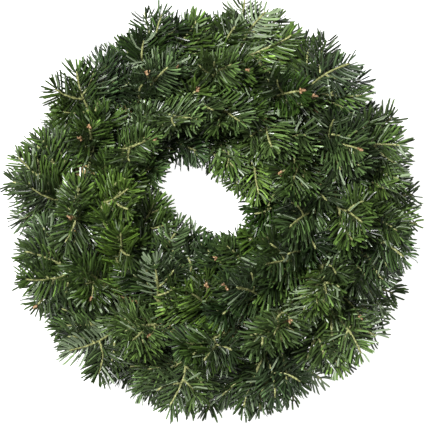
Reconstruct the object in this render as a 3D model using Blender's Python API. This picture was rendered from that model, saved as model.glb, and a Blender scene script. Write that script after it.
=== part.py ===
"""Advent wreath lying flat: fir sprays bound with wire on a straw ring, in metres with +Z up.

The origin is under the middle of the wreath, on the surface that it lies on, and +Y is the top of the wreath
as it is seen from above. Twelve bunches are laid round the ring, each under one turn of the wire. A bunch has
a skirt spray at the rim, a shoulder, a crown and an inner spray, and nearly every bunch has one more on the
wall of the hole. Each spray is a twig with two side shoots. Its cut stem lies on the straw under the wire, and
it points clockwise and away from the ring. Its needles are drawn out of the faces of the twig.
"""

import math
import random
from collections import namedtuple

import bmesh
import bpy
import numpy as np
from mathutils import Vector

MM = 0.001
GAP = 0.3 * MM

# Straw ring: a ten-sided section with one side flat on the surface, drawn in where the wire grips it
RING_CENTRE = Vector((-7 * MM, 6 * MM, 0.0))
RING_RADIUS = 116 * MM
STRAW_SIDES = 10
STRAW_RADIUS = 24 * MM
STRAW_MIDDLE = STRAW_RADIUS * math.cos(math.pi / STRAW_SIDES)
STATIONS_PER_BUNCH = 3
WAIST = 2.5 * MM

# Binding wire: one turn for each bunch, straight under the ring and moving on over the top
BUNCHES = 12
BUNCH_ANGLE = 360 / BUNCHES
WIRE_RADIUS = 0.5 * MM
WIRE_SIDES = 3
WIRE_OVER_STRAW = 3 * WIRE_RADIUS
WIRE_OVER_SURFACE = 1.2 * MM
UNDER_START, UNDER_CORNERS, UNDER_END = 216, (252, 288), 324
INNER_WALL = 180

# Twigs: three-sided, with the stem a little stouter and a bud at each tip
TWIG_SIDES = 3
STEM_RADIUS = 1.7 * MM
SHOOT_RADIUS = 1.35 * MM
SIDE_ROOT_RADIUS = 0.6 * MM
BUD_RADIUS = 1.8 * MM
BUD_LENGTH = 5 * MM
STEM_HEIGHT = STRAW_RADIUS + 2 * GAP + STEM_RADIUS
OVER_STEM = 1.2 * MM
WIRE_HEIGHT = STEM_HEIGHT + STEM_RADIUS + OVER_STEM + WIRE_RADIUS
PLAIN_STEM = 18 * MM
PLAIN_SIDE_ROOT = 9 * MM

# Course of a spray, as shares of its length: how early it turns away clockwise, how late it leaves the straw,
# and where its side shoots fork off, how long they are and how much they curve
SWEEP_EASE = 1.3
RISE_EASE = 1.6
PAST_WIRE = 0.09
FORK = 0.52
FORK_SHIFT = 0.05
SIDE_SHARE = 0.95
SIDE_CURVE = 1.5
SIDE_HANDLE = 0.45
SIDE_LIFT = 0.16
MAIN_POINTS = 33
SIDE_POINTS = 17
LIE_STEP = 8 * MM

# Needles: flat, blunt and of one width, drawn as wedges whose thickness runs out at the tip
NEEDLE_LENGTH = 23 * MM
NEEDLE_ROOT = 2.3 * MM
NEEDLE_TIP_WIDTH = 2.1 * MM
NEEDLE_ROOM = 1.3 * MM
OPEN_ROOT = 3 * MM
WHORL_SPACING = 15.4 * MM
WHORL_TWIST = math.radians(40)
LEAN = math.radians(54)
TIP_LEAN = math.radians(38)
NEEDLE_TRIES = 14
FIRST_PLAY = 0.1
MORE_PLAY = 0.05

# Space that the foliage fills
OUTLINE_CENTRE = Vector((-2 * MM, 1 * MM, 0.0))
HOLE_CENTRE = Vector((-9 * MM, 12 * MM, 0.0))
HOLE_HEADING = math.radians(-40)
HOLE_REACH, HOLE_HALF_WIDTH = 40 * MM, 20.5 * MM
FOLIAGE_TOP = 118 * MM
FOLIAGE_BOTTOM = 2.4 * MM

# Rows of sprays: where the stem lies round the straw in degrees, with 0 outermost and 90 on top, how far the
# cut end reaches behind the wire, how far the first spray leans clockwise and how far its side shoots open,
# in degrees, then one tip for each spray: its heading in degrees anticlockwise from +X, its distance from the
# middle of the outline and its height, both in millimetres
Row = namedtuple("Row", "around behind lean opening tips")
ROWS = {
    "skirt": Row(0, 28 * MM, 24, 36, (
        (85, 189, 23), (50, 191, 26), (23, 194, 22), (-3, 205, 25), (-33, 203, 22), (-75, 196, 26),
        (-98, 196, 22), (-125, 191, 25), (-155, 190, 22), (170, 194, 26), (145, 184, 22), (113, 186, 25))),
    "shoulder": Row(36, 6 * MM, 32, 34, (
        (95, 187, 68), (66, 189, 66), (38, 184, 68), (10, 184, 64), (-22, 178, 68), (-51, 194, 64),
        (-81, 192, 64), (-112, 188, 66), (-143, 187, 64), (-168, 187, 66), (157, 182, 62), (126, 178, 68))),
    "crown": Row(72, 6 * MM, 28, 32, (
        (104, 142, 88), (76, 138, 91), (50, 132, 94), (17, 148, 88), (-12, 136, 92), (-42, 134, 92),
        (-67, 132, 94), (-98, 140, 91), (-126, 142, 91), (-155, 138, 92), (176, 132, 94), (142, 140, 90))),
    "inner": Row(108, 6 * MM, 40, 32, (
        (100, 88, 94), (70, 86, 95), (41, 82, 93), (11, 79, 94), (-18, 76, 93), (-49, 74, 94),
        (-80, 75, 95), (-110, 78, 93), (-139, 82, 94), (-169, 85, 95), (160, 88, 93), (130, 88, 95))),
    "wall": Row(146, 6 * MM, 45, 25, (
        (73, 44, 66), (36, 38, 60), (-3, 40, 66), (-39, 43, 60), (-74, 34, 66), (-110, 32, 56),
        (-151, 39, 70), (176, 47, 60), (143, 67, 66), (106, 56, 60))),
}


def vary(spray, what, side=0):
    """A fixed draw from -1 to 1 for one quality of one spray."""
    return random.Random(f"{spray} {what} {side}").uniform(-1, 1)


def ring_point(heading, around, height):
    """The point at a heading round the ring, an angle round the straw and a height over its middle line."""
    course, turned = math.radians(heading), math.radians(around)
    reach = RING_RADIUS + height * math.cos(turned)
    return RING_CENTRE + Vector((reach * math.cos(course), reach * math.sin(course),
                                 STRAW_MIDDLE + height * math.sin(turned)))


def ring_place(point):
    """The heading, the angle round the straw and the height over its middle line of a point."""
    flat = point - RING_CENTRE
    out = math.hypot(flat.x, flat.y) - RING_RADIUS
    up = point.z - STRAW_MIDDLE
    return math.degrees(math.atan2(flat.y, flat.x)), math.degrees(math.atan2(up, out)), math.hypot(out, up)


def wire_heading(turn, around):
    """The heading at which a turn of the wire crosses an angle round the straw."""
    over_the_top = (around - UNDER_END) % 360 / (360 - (UNDER_END - UNDER_START))
    return BUNCH_ANGLE * (turn + min(over_the_top, 1))


def across(vector, along):
    """The part of a vector that lies across a direction, at unit length."""
    return (vector - along * vector.dot(along)).normalized()


class Axis:
    """A smooth line in space that is read by the distance along it."""

    def __init__(self, points):
        self.points = np.array([tuple(point) for point in points])
        steps = np.linalg.norm(np.diff(self.points, axis=0), axis=1)
        self.reached = np.concatenate(([0.0], np.cumsum(steps)))
        self.length = self.reached[-1]

    def at(self, distance):
        """The point at a distance along the line."""
        return Vector([np.interp(distance, self.reached, self.points[:, k]) for k in range(3)])

    def direction(self, distance):
        """The direction of the line at a distance along it."""
        return (self.at(min(distance + MM, self.length)) - self.at(max(distance - MM, 0))).normalized()


def main_axis(around, turn, behind, tip):
    """The line of a spray: along the straw till it is past the wire, then clockwise and away to its tip."""
    stem_circle = RING_RADIUS + STEM_HEIGHT * math.cos(math.radians(around))
    held_angle = math.degrees(behind / stem_circle)
    start = wire_heading(turn, around) + held_angle
    heading, tip_around, tip_height = ring_place(tip)
    lean = (start - heading) % 360
    held = 1 - (1 - held_angle / lean) ** (1 / SWEEP_EASE) + PAST_WIRE
    points = []
    for k in range(MAIN_POINTS):
        share = k / (MAIN_POINTS - 1)
        free = max(share - held, 0) / (1 - held)
        points.append(ring_point(start - lean * (1 - (1 - share) ** SWEEP_EASE),
                                 around + (tip_around - around) * free,
                                 STEM_HEIGHT + (tip_height - STEM_HEIGHT) * free ** RISE_EASE))
    return Axis(points)


def side_axis(spray, main, side, opening):
    """The line of a side shoot, which forks off near the middle of the spray and fans out beside its tip."""
    fork = main.length * (FORK + FORK_SHIFT * (side + 0.8 * vary(spray, "fork", side)))
    root, along = main.at(fork), main.direction(fork)
    flat = root - RING_CENTRE
    beside = across(Vector((flat.y, -flat.x, 0)), along) * side
    length = (main.length - fork) * (SIDE_SHARE + 0.1 * vary(spray, "length", side))
    angle = math.radians(opening * (1 + 0.2 * vary(spray, "opening", side)))
    lift = along.cross(beside) * SIDE_LIFT * vary(spray, "lift", side)
    wide = angle * SIDE_CURVE
    handle = root + (along * math.cos(wide) + beside * math.sin(wide)) * length * SIDE_HANDLE
    tip = root + (along * math.cos(angle) + beside * math.sin(angle) + lift) * length
    shares = [k / (SIDE_POINTS - 1) for k in range(SIDE_POINTS)]
    return Axis([(1 - t) ** 2 * root + 2 * t * (1 - t) * handle + t ** 2 * tip for t in shares])


def lay_sprays():
    """Every spray's name, the line of its twig and the lines of its side shoots."""
    laid = []
    for name, row in ROWS.items():
        first = round((row.tips[0][0] + row.lean - wire_heading(0, row.around)) / BUNCH_ANGLE)
        for number, (heading, reach, height) in enumerate(row.tips):
            spray = f"{name}_spray_{number + 1:02d}"
            course = math.radians(heading)
            tip = OUTLINE_CENTRE + Vector((reach * math.cos(course), reach * math.sin(course), height)) * MM
            turn = first - round(number * BUNCHES / len(row.tips))
            main = main_axis(row.around, turn, row.behind, tip)
            laid.append((spray, main, [side_axis(spray, main, side, row.opening) for side in (-1, 1)]))
    return laid


class Room:
    """The straight stretches of wire, twig and needle that are already in place."""

    def __init__(self, most=6000):
        self.starts, self.lines = np.zeros((most, 3)), np.zeros((most, 3))
        self.radii, self.owners = np.zeros(most), np.zeros(most, dtype=int)
        self.count = 0

    def add(self, start, end, radius, owner=0):
        """Take up the room of one straight stretch."""
        self.starts[self.count] = start
        self.lines[self.count] = end - start
        self.radii[self.count] = radius
        self.owners[self.count] = owner
        self.count += 1

    def add_axis(self, axis, owner):
        """Take up the room of a twig."""
        steps = math.ceil(axis.length / LIE_STEP)
        for k in range(steps):
            self.add(axis.at(axis.length * k / steps), axis.at(axis.length * (k + 1) / steps), STEM_RADIUS, owner)

    def gap(self, start, end, owner):
        """The smallest gap from a straight line to what is in place, apart from the owner's own twig."""
        first, line = self.starts[:self.count], self.lines[:self.count]
        p, q = np.array(start), np.array(end - start)
        w = p - first
        a, b, c = q @ q, line @ q, np.einsum("ij,ij->i", line, line)
        d, e = w @ q, np.einsum("ij,ij->i", line, w)
        t = np.clip((b * e - c * d) / np.maximum(a * c - b * b, 1e-18), 0, 1)
        u = np.clip((b * t + e) / c, 0, 1)
        t = np.clip((b * u - d) / a, 0, 1)
        away = np.linalg.norm(w + t[:, None] * q - u[:, None] * line, axis=1) - self.radii[:self.count]
        return away[self.owners[:self.count] != owner].min()


def grow(mesh, face, corners):
    """Draw a face out so that its corners land on the given points, and return the new face."""
    drawn = bmesh.ops.extrude_discrete_faces(mesh, faces=[face])["faces"][0]
    for loop, corner in zip(drawn.loops, corners):
        loop.vert.co = corner
    return drawn


def grow_tube(mesh, sections):
    """A tube through sections of corners: the side faces of each stretch, and the face at its far end."""
    face = mesh.faces.new([mesh.verts.new(corner) for corner in sections[0]])
    stretches = []
    for corners in sections[1:]:
        face = grow(mesh, face, corners)
        stretches.append([other for edge in face.edges for other in edge.link_faces if other is not face])
    return stretches, face


def section(middle, along, side, radius, sides, twist=0.0):
    """The corners of a tube's section round a point of its line."""
    other = along.cross(side)
    return [middle + radius * (math.cos(turn) * side + math.sin(turn) * other)
            for turn in (twist + math.tau * k / sides for k in range(sides))]


def add_piece(name, mesh, material):
    """Close the open start of what was grown and make an object of it."""
    bmesh.ops.holes_fill(mesh, edges=[edge for edge in mesh.edges if edge.is_boundary])
    bmesh.ops.triangulate(mesh, faces=mesh.faces[:])
    bmesh.ops.recalc_face_normals(mesh, faces=mesh.faces[:])
    if mesh.calc_volume(signed=True) < 0:
        bmesh.ops.reverse_faces(mesh, faces=mesh.faces[:])
    data = bpy.data.meshes.new(name)
    mesh.to_mesh(data)
    mesh.free()
    data.materials.append(material)
    piece = bpy.data.objects.new(name, data)
    bpy.context.scene.collection.objects.link(piece)
    return piece


def plain_material(name, color, roughness):
    """A material of one colour."""
    material = bpy.data.materials.new(name)
    material.use_nodes = True
    shader = material.node_tree.nodes["Principled BSDF"]
    shader.inputs["Base Color"].default_value = (*color, 1.0)
    shader.inputs["Roughness"].default_value = roughness
    return material


def straw_ring():
    """The straw former, drawn in at one heading for each turn of the wire."""
    mesh = bmesh.new()
    bmesh.ops.create_circle(mesh, segments=STRAW_SIDES, radius=STRAW_RADIUS)
    for vert in mesh.verts:
        vert.co = Vector((RING_RADIUS + vert.co.y, 0.0, STRAW_MIDDLE + vert.co.x))
    bmesh.ops.spin(mesh, geom=mesh.verts[:] + mesh.edges[:], axis=(0, 0, 1), angle=math.tau,
                   steps=BUNCHES * STATIONS_PER_BUNCH, use_merge=True)
    for vert in mesh.verts:
        heading = math.degrees(math.atan2(vert.co.y, vert.co.x))
        core = Vector((vert.co.x, vert.co.y, 0)).normalized() * RING_RADIUS + Vector((0, 0, STRAW_MIDDLE))
        if round(heading * STATIONS_PER_BUNCH / BUNCH_ANGLE) % STATIONS_PER_BUNCH == 0:
            vert.co = core + (vert.co - core) * (1 - WAIST / STRAW_RADIUS)
        vert.co += RING_CENTRE
    add_piece("straw_ring", mesh, plain_material("straw", (0.45, 0.33, 0.14), 0.9))


def wire_line():
    """The corners of the wire: taut over the stems, close to the straw down the inner wall and underneath."""
    grip = STRAW_RADIUS - WAIST + WIRE_OVER_STRAW
    under = (STRAW_MIDDLE - WIRE_OVER_SURFACE) / math.cos(math.pi / STRAW_SIDES)
    corners = [(UNDER_END, grip)]
    corners += [(row.around, WIRE_HEIGHT) for row in ROWS.values()]
    corners += [(INNER_WALL, STRAW_RADIUS + WIRE_OVER_STRAW), (UNDER_START, grip)]
    corners += [(around, under) for around in UNDER_CORNERS]
    return [ring_point(wire_heading(turn, around), around, height)
            for turn in range(BUNCHES) for around, height in corners]


def binding_wire(room):
    """The florist's wire, wound round the ring and every stem."""
    line = wire_line()
    side = Vector((0, 0, 1))
    sections = []
    for k, point in enumerate(line):
        along = (line[min(k + 1, len(line) - 1)] - line[max(k - 1, 0)]).normalized()
        side = across(side, along)
        sections.append(section(point, along, side, WIRE_RADIUS, WIRE_SIDES))
        if k:
            room.add(line[k - 1], point, WIRE_RADIUS)
    mesh = bmesh.new()
    grow_tube(mesh, sections)
    add_piece("binding_wire", mesh, plain_material("wire", (0.06, 0.08, 0.05), 0.5))


def over_hole(point):
    """Whether a point is over the hole, which is longer from its upper left to its lower right."""
    flat = point - HOLE_CENTRE
    lengthwise = flat.x * math.cos(HOLE_HEADING) + flat.y * math.sin(HOLE_HEADING)
    crosswise = flat.y * math.cos(HOLE_HEADING) - flat.x * math.sin(HOLE_HEADING)
    return math.hypot(lengthwise / HOLE_REACH, crosswise / HOLE_HALF_WIDTH) < 1


def in_the_open(root, tip):
    """Whether a needle keeps off the straw, the surface and the hole."""
    if not FOLIAGE_BOTTOM < tip.z < FOLIAGE_TOP or over_hole(tip):
        return False
    return all(ring_place(root.lerp(tip, share))[2] > STRAW_RADIUS + NEEDLE_ROOM + GAP
               for share in (0.35, 0.7, 1.0))


def find_tip(root, along, out, tipward, draw, room, owner):
    """The tip of a needle that is clear of all else, leaning further aside at each try, or None."""
    for attempt in range(NEEDLE_TRIES):
        play = FIRST_PLAY + MORE_PLAY * attempt
        lean = LEAN + (TIP_LEAN - LEAN) * tipward ** 3 + draw.uniform(-play, play)
        outward = (out + along.cross(out) * draw.uniform(-1.5, 1.5) * play).normalized()
        course = along * math.cos(lean) + outward * math.sin(lean)
        tip = root + course * NEEDLE_LENGTH * (1 - 0.2 * tipward ** 2) * draw.uniform(0.88, 1.08)
        if in_the_open(root, tip) and room.gap(root + course * OPEN_ROOT, tip, owner) > NEEDLE_ROOM + GAP:
            return tip
    return None


def grow_needle(mesh, face, root, tip):
    """Draw a needle out of a face of the twig to a blunt edge, with its flat side away from the ring."""
    course = (tip - root).normalized()
    facing = root - ring_point(ring_place(root)[0], 0, 0)
    width = across(course.cross(facing), course)
    corners = [loop.vert.co.copy() for loop in face.loops]
    lengthwise = corners[1] - corners[0] + corners[2] - corners[3]
    crosswise = corners[3] - corners[0] + corners[2] - corners[1]
    if abs(lengthwise.dot(width)) > abs(crosswise.dot(width)):
        wide, pairs = lengthwise, ((0, 3), (1, 2))
    else:
        wide, pairs = crosswise, ((0, 1), (3, 2))
    half = width * math.copysign(NEEDLE_TIP_WIDTH / 2, wide.dot(width))
    verts = [loop.vert for loop in grow(mesh, face, corners).loops]
    for pair, end in zip(pairs, (tip - half, tip + half)):
        bmesh.ops.pointmerge(mesh, verts=[verts[k] for k in pair], merge_co=end)


def needle_twig(name, axis, is_side, room, owner, material):
    """A twig with whorls of needles, each turned on from the last, and a bud at its tip."""
    plain = PLAIN_SIDE_ROOT if is_side else PLAIN_STEM
    last = axis.length - BUD_LENGTH - NEEDLE_ROOT
    whorls = max(math.floor((last - plain) / WHORL_SPACING) + 1, 2)
    places = [plain + k * (last - plain) / (whorls - 1) for k in range(whorls)]
    stations = [(0.0, SIDE_ROOT_RADIUS if is_side else STEM_RADIUS, 0.0)]
    for k, place in enumerate(places):
        stations += [(place, SHOOT_RADIUS, k * WHORL_TWIST), (place + NEEDLE_ROOT, SHOOT_RADIUS, k * WHORL_TWIST)]
    if not is_side:
        stations.append((axis.length - BUD_LENGTH / 2, BUD_RADIUS, whorls * WHORL_TWIST))
    side = Vector((0.3, 0.2, 1))
    sections = []
    for distance, radius, twist in stations:
        along = axis.direction(distance)
        side = across(side, along)
        sections.append(section(axis.at(distance), along, side, radius, TWIG_SIDES, twist))
    mesh = bmesh.new()
    stretches, end = grow_tube(mesh, sections)
    bud = grow(mesh, end, [loop.vert.co.copy() for loop in end.loops])
    bmesh.ops.pointmerge(mesh, verts=[loop.vert for loop in bud.loops], merge_co=axis.at(axis.length))
    draw = random.Random(name)
    for k, place in enumerate(places):
        for face in stretches[1 + 2 * k]:
            root = face.calc_center_median()
            middle = place + NEEDLE_ROOT / 2
            along = axis.direction(middle)
            tip = find_tip(root, along, across(root - axis.at(middle), along), k / (whorls - 1), draw, room, owner)
            if tip:
                room.add(root + (tip - root).normalized() * OPEN_ROOT, tip, NEEDLE_ROOM)
                grow_needle(mesh, face, root, tip)
    return add_piece(name, mesh, material)


def keep_one_body(data):
    """Drop the loose scraps of a fused mesh, and say whether the body that stays is closed."""
    mesh = bmesh.new()
    mesh.from_mesh(data)
    bodies = []
    waiting = set(mesh.verts)
    while waiting:
        body, reached = set(), [waiting.pop()]
        while reached:
            vert = reached.pop()
            if vert not in body:
                body.add(vert)
                reached += [edge.other_vert(vert) for edge in vert.link_edges]
        waiting -= body
        bodies.append(body)
    bodies.sort(key=len)
    bmesh.ops.delete(mesh, geom=[vert for body in bodies[:-1] for vert in body], context="VERTS")
    closed = all(edge.is_manifold for edge in mesh.edges)
    mesh.to_mesh(data)
    mesh.free()
    return closed


def fuse(piece, shoots):
    """Join the side shoots to the spray."""
    group = bpy.data.collections.new(piece.name + " side shoots")
    bpy.context.scene.collection.children.link(group)
    for shoot in shoots:
        group.objects.link(shoot)
    union = piece.modifiers.new("side shoots", "BOOLEAN")
    union.operation = "UNION"
    union.operand_type = "COLLECTION"
    union.collection = group
    union.use_self = True
    for solver in ("EXACT", "MANIFOLD"):
        union.solver = solver
        fused = bpy.data.meshes.new_from_object(piece.evaluated_get(bpy.context.evaluated_depsgraph_get()))
        if keep_one_body(fused):
            break
    piece.modifiers.clear()
    piece.data = fused
    for shoot in shoots:
        bpy.data.objects.remove(shoot)
    bpy.data.collections.remove(group)


def build():
    """The whole wreath."""
    for old in list(bpy.data.objects):
        bpy.data.objects.remove(old)
    room = Room()
    straw_ring()
    binding_wire(room)
    twigs = [(spray, side, axis) for spray, main, sides in lay_sprays()
             for side, axis in enumerate([main] + sides)]
    for owner, (_, _, axis) in enumerate(twigs, 1):
        room.add_axis(axis, owner)
    fir = plain_material("fir", (0.045, 0.09, 0.025), 0.45)
    grown = {}
    for owner, (spray, side, axis) in enumerate(twigs, 1):
        name = f"{spray} side {side}" if side else spray
        grown.setdefault(spray, []).append(needle_twig(name, axis, side > 0, room, owner, fir))
    for pieces in grown.values():
        fuse(pieces[0], pieces[1:])


build()
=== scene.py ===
"""Advent wreath lying flat: its looks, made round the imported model, in metres with +Z up.

The straw ring and the binding wire are modelled anew in the place of their solids. Each fir spray keeps the
lines of its twig and of its two side shoots, and gets smaller shoots, all its needles, a small bud on each
tip and, on some shoots, a cluster of larger buds.
"""

import math
import random
from collections import namedtuple

import bmesh
import bpy
import numpy as np
from mathutils import Matrix, Vector


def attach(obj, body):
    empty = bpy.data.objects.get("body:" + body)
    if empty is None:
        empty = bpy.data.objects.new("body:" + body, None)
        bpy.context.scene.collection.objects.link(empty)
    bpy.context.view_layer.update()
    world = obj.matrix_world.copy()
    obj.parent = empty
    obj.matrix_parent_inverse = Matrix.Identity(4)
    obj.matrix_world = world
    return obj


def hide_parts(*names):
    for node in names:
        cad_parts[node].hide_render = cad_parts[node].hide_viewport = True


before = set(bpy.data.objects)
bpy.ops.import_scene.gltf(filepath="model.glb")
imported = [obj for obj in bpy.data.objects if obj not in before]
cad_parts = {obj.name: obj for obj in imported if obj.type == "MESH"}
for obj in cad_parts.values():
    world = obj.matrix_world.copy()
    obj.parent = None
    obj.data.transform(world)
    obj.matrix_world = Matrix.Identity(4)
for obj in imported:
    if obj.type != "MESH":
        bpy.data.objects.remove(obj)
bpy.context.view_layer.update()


# Straw ring: a former of pressed rye straw, 0.28 m across, its stalks running round the ring. It is ten-sided
# as it comes from the press, lies on one of the sides and is drawn in where each turn of the wire grips it.
MM = 0.001
RING_CENTRE = np.array((-7 * MM, 6 * MM, 0.0))
RING_RADIUS = 116 * MM
STRAW_SIDES = 10
STRAW_RADIUS = 24 * MM
STRAW_MIDDLE = STRAW_RADIUS * math.cos(math.pi / STRAW_SIDES)
WAIST = 2.5 * MM
WAIST_REACH = 10
WAIST_CURVE = 1.3
BUNCHES = 12
BUNCH_ANGLE = 360 / BUNCHES
STALKS = 34
STALK_POINTS = 4
STALK_RELIEF = 0.9 * MM
STALK_STATIONS = 180
LOOSE_STALKS = 40
LOOSE_STATIONS = 8
LOOSE_AROUND = (-40, 200)
LOOSE_LENGTH = (20, 50)
LOOSE_DRIFT = (-14, 14)
LOOSE_SUNK, LOOSE_END_LIFT, LOOSE_END_CURVE = 0.3, 2.5, 6
STALK_WIDTH = 3 * MM
STALK_THICKNESS = 0.7 * MM
STALK_CORNERS = ((-1, 0.0), (0, -STALK_THICKNESS), (1, 0.0), (0, STALK_THICKNESS))
# how the stalks wander sideways: by how many stalks, how often round the ring and how often round the straw
WANDER = ((0.5, 3, 0), (0.35, 7, 2))


def ring_point(heading, around, height):
    """The point at a heading round the ring, an angle round the straw and a height over its middle line."""
    course, turned = np.radians(heading), np.radians(around)
    reach = RING_RADIUS + height * np.cos(turned)
    up = STRAW_MIDDLE + height * np.sin(turned)
    corner = np.broadcast_arrays(reach * np.cos(course), reach * np.sin(course), up)
    return RING_CENTRE + np.stack(corner, axis=-1)


def ring_place(points):
    """The heading, the angle round the straw and the height over its middle line of each point."""
    flat = points - RING_CENTRE
    out = np.hypot(flat[..., 0], flat[..., 1]) - RING_RADIUS
    up = points[..., 2] - STRAW_MIDDLE
    heading = np.degrees(np.arctan2(flat[..., 1], flat[..., 0]))
    return heading, np.degrees(np.arctan2(up, out)), np.hypot(out, up)


def straw_surface(heading, around):
    """The height of the straw's surface over its middle line, with its ten sides and its waists."""
    side = 360 / STRAW_SIDES
    flat_sided = STRAW_MIDDLE / np.cos(np.radians(np.mod(around, side) - side / 2))
    from_wire = np.abs(np.mod(heading + BUNCH_ANGLE / 2, BUNCH_ANGLE) - BUNCH_ANGLE / 2)
    return flat_sided * (1 - WAIST / STRAW_RADIUS * np.clip(1 - from_wire / WAIST_REACH, 0, 1) ** WAIST_CURVE)


def draw_out(mesh, face, corners):
    """Draw a face out so that its corners land on the given points, and return the new face."""
    drawn = bmesh.ops.extrude_discrete_faces(mesh, faces=[face])["faces"][0]
    for loop, corner in zip(drawn.loops, corners):
        loop.vert.co = corner
    return drawn


def draw_tube(mesh, sections, material=0):
    """A closed tube through sections of corners, smooth along its sides."""
    start = [mesh.verts.new(corner) for corner in sections[0]]
    face = mesh.faces.new(start)
    face.smooth = True
    face.material_index = material
    for corners in sections[1:]:
        face = draw_out(mesh, face, corners)
    mesh.faces.new(start[::-1]).material_index = material


def as_data(mesh, name="part"):
    """What was modelled, as mesh data."""
    data = bpy.data.meshes.new(name)
    mesh.to_mesh(data)
    mesh.free()
    return data


def join_parts(parts):
    """Mesh data of several parts in one mesh, one after another."""
    mesh = bmesh.new()
    for data in parts:
        mesh.from_mesh(data)
        bpy.data.meshes.remove(data)
    return mesh


def make_piece(name, mesh, materials, node):
    """An object of what was modelled, riding with the wreath in the place of its solid."""
    data = as_data(mesh, name)
    for material in materials:
        data.materials.append(material)
    piece = bpy.data.objects.new(name, data)
    bpy.context.scene.collection.objects.link(piece)
    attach(piece, "root")
    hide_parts(node)
    return piece


def new_material(name, roughness, specular=0.5):
    """A material, its nodes and links, and its Principled shader."""
    material = bpy.data.materials.new(name)
    material.use_nodes = True
    nodes, links = material.node_tree.nodes, material.node_tree.links
    shader = nodes["Principled BSDF"]
    shader.inputs["Roughness"].default_value = roughness
    shader.inputs["Specular IOR Level"].default_value = specular
    return material, nodes, links, shader


def ramp(nodes, links, factor, stops):
    """A colour ramp fed by a value, from its stops of place and colour."""
    node = nodes.new("ShaderNodeValToRGB")
    elements = node.color_ramp.elements
    while len(elements) < len(stops):
        elements.new(0.5)
    for element, (place, color) in zip(elements, stops):
        element.position = place
        element.color = (*color, 1.0)
    links.new(factor, node.inputs["Fac"])
    return node.outputs["Color"]


def straw_material():
    """Dry straw: pale gold, streaked along the stalks, with a dull shine."""
    material, nodes, links, shader = new_material("straw", 0.55, 0.4)
    place = nodes.new("ShaderNodeUVMap")
    stretch = nodes.new("ShaderNodeMapping")
    stretch.inputs["Scale"].default_value = (30, 700, 1)
    streaks = nodes.new("ShaderNodeTexNoise")
    streaks.inputs["Scale"].default_value = 1.0
    streaks.inputs["Detail"].default_value = 4.0
    links.new(place.outputs["UV"], stretch.inputs["Vector"])
    links.new(stretch.outputs["Vector"], streaks.inputs["Vector"])
    color = ramp(nodes, links, streaks.outputs["Fac"], [
        (0.25, (0.16, 0.10, 0.035)), (0.5, (0.42, 0.30, 0.11)), (0.75, (0.62, 0.48, 0.22))])
    links.new(color, shader.inputs["Base Color"])
    bump = nodes.new("ShaderNodeBump")
    bump.inputs["Strength"].default_value = 0.5
    bump.inputs["Distance"].default_value = 0.3 * MM
    links.new(streaks.outputs["Fac"], bump.inputs["Height"])
    links.new(bump.outputs["Normal"], shader.inputs["Normal"])
    return material


def lay_straw_pattern(data):
    """Map the straw in metres along the stalks and across them, without a seam inside a face."""
    places = np.empty(len(data.vertices) * 3)
    data.vertices.foreach_get("co", places)
    corners = np.empty(len(data.loops), int)
    data.loops.foreach_get("vertex_index", corners)
    heading, around, _ = ring_place(places.reshape(-1, 3)[corners])
    starts = np.empty(len(data.polygons), int)
    data.polygons.foreach_get("loop_start", starts)
    first = np.repeat(starts, np.diff(np.append(starts, len(corners))))
    heading = heading[first] + (heading - heading[first] + 180) % 360 - 180
    around = around[first] + (around - around[first] + 180) % 360 - 180
    pattern = data.uv_layers.new(name="straw")
    pattern.uv.foreach_set("vector", np.radians(
        np.stack((heading * RING_RADIUS, around * STRAW_RADIUS), axis=-1)).astype(np.float32).ravel())


mesh = bmesh.new()
bmesh.ops.create_circle(mesh, segments=STALKS * STALK_POINTS, radius=STRAW_RADIUS)
for vert in mesh.verts:
    vert.co = Vector((RING_RADIUS + vert.co.y, 0.0, STRAW_MIDDLE + vert.co.x))
bmesh.ops.spin(mesh, geom=mesh.verts[:] + mesh.edges[:], axis=(0, 0, 1), angle=math.tau, steps=STALK_STATIONS,
               use_merge=True)
heading, around, _ = ring_place(np.array([vert.co[:] for vert in mesh.verts]) + RING_CENTRE)
drift = sum(stalks * np.sin(np.radians(round_ring * heading + round_straw * around))
            for stalks, round_ring, round_straw in WANDER)
groove = 1 - np.abs(np.cos(math.pi * (around / 360 * STALKS + drift)))
surface = ring_point(heading, around, straw_surface(heading, around) - STALK_RELIEF * groove ** 2)
for vert, place in zip(mesh.verts, surface):
    vert.co = place
for face in mesh.faces:
    face.smooth = True
draw = random.Random("loose stalks")
stalks = bmesh.new()
for _ in range(LOOSE_STALKS):
    heading, around = draw.uniform(0, 360), draw.uniform(*LOOSE_AROUND)
    length, drift = draw.uniform(*LOOSE_LENGTH), draw.uniform(*LOOSE_DRIFT)
    sections = []
    for k in range(LOOSE_STATIONS + 1):
        share = k / LOOSE_STATIONS
        here, turned = heading + length * share, around + drift * share
        lift = LOOSE_SUNK + LOOSE_END_LIFT * abs(2 * share - 1) ** LOOSE_END_CURVE
        height = straw_surface(here, turned) + STALK_THICKNESS * lift
        half = math.degrees(STALK_WIDTH / 2 / STRAW_RADIUS)
        sections.append([ring_point(here, turned + half * sideways, height + rise)
                         for sideways, rise in STALK_CORNERS])
    draw_tube(stalks, sections)
mesh = join_parts([as_data(mesh), as_data(stalks)])
bmesh.ops.recalc_face_normals(mesh, faces=mesh.faces[:])
former = make_piece("straw_former", mesh, [straw_material()], "straw_ring")
lay_straw_pattern(former.data)


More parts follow.
